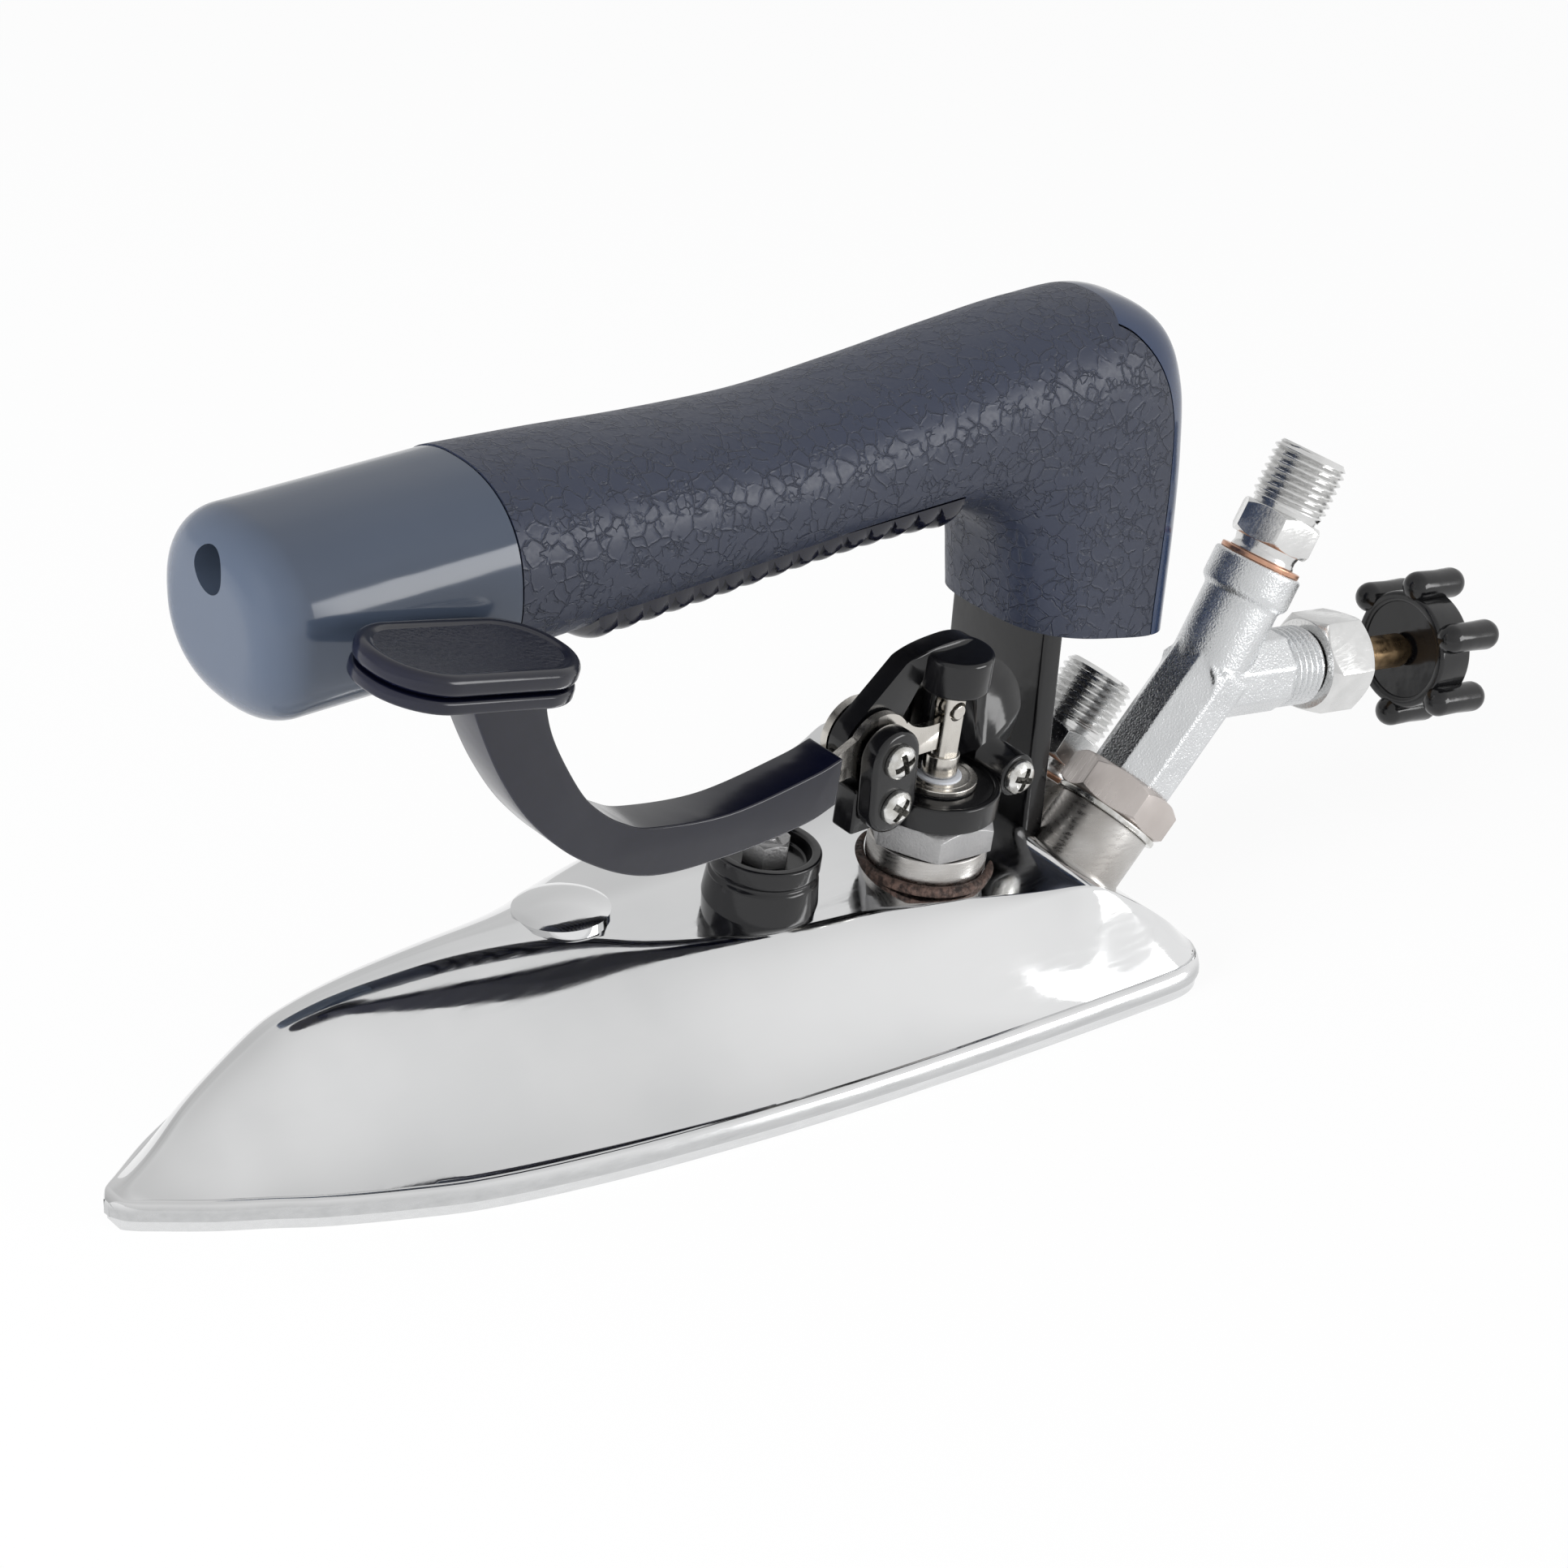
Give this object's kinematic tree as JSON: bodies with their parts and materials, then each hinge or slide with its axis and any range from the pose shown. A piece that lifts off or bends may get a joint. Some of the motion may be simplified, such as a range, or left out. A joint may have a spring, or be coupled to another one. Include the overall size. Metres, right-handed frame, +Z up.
{
  "type": "industrial steam iron",
  "caption": "All-steam pressing iron with a pointed steel body, a carrying handle, a thumb lever that lifts a sprung steam valve, and threaded steam inlet and outlet.",
  "frame": {"origin": "centre of the sole face", "axes": "+X to the heel, +Y away from the lever side, +Z up from the sole"},
  "size_m": [0.2669, 0.0878, 0.1112],
  "materials": {
    "polished_steel": "polished",
    "sole_steel": "bright",
    "braze": "heat stained",
    "plated_grey": "matte nickel",
    "nickel": "bright nickel",
    "black_coat": "gloss black",
    "packing": "satin white",
    "navy_gloss": "gloss navy",
    "navy_grain": "leather grain",
    "cap_blue": "gloss blue-grey",
    "cover_blue": "gloss dark blue",
    "zinc": "bright zinc",
    "copper": "plain copper",
    "brass": "turned"
  },
  "bodies": {
    "iron": {"sole_plate": "sole_steel", "iron_shell": "polished_steel", "front_post": "black_coat", "front_post_nut": "plated_grey", "valve_boss": "sole_steel", "valve_weld_ring": "braze", "valve_body": "plated_grey", "valve_clamp_ring": "black_coat", "gland_washer": "nickel", "packing_ring": "packing", "pivot_ear": "black_coat", "pivot_screw": "zinc", "ear_screw": "zinc", "valve_yoke": "black_coat", "side_lug_screw": "zinc", "handle_bracket": "black_coat", "handle_grip": "navy_grain", "handle_back_cover": "cover_blue", "finger_grip_insert": "navy_gloss", "handle_end_cap": "cap_blue", "inlet_boss": "sole_steel", "inlet_seal_washer": "zinc", "inlet_union_nut": "plated_grey", "inlet_elbow": "zinc", "inlet_copper_washer": "copper", "inlet_nipple": "zinc", "gland_nut": "zinc", "outlet_boss": "sole_steel", "outlet_copper_washer": "copper", "outlet_nipple": "zinc"},
    "lever": {"lever_plate": "nickel", "clevis_rivet": "zinc", "thumb_lever": "navy_gloss", "thumb_pad": "navy_grain"},
    "spindle": {"valve_spindle": "nickel", "spindle_cross_pin": "nickel"},
    "flow_wheel": {"handwheel": "black_coat", "handwheel_screw": "zinc", "flow_spindle": "brass"}
  },
  "joints": [
    {"name": "lever_pivot", "type": "hinge", "parent": "iron", "child": "lever", "pos_m": [0.03804, -0.01848, 0.05042], "axis": [0.081, -0.9926, -0.0907], "range_deg": [0, 8], "stiffness_Nm_per_rad": 1.5, "springref_deg": -5.73},
    {"name": "spindle_lift", "type": "slide", "parent": "iron", "child": "spindle", "axis": [0.07, -0.0851, 0.9939], "range_m": [0, 0.0023]},
    {"name": "handwheel_turn", "type": "hinge", "parent": "iron", "child": "flow_wheel", "pos_m": [0.16077, -0.015, 0.03209], "axis": [0.9863, 0, -0.165], "range_deg": [0, 900]}
  ],
  "couplings": [
    {"joint": "spindle_lift", "follows": "lever_pivot", "m_per_rad": 0.0156}
  ]
}
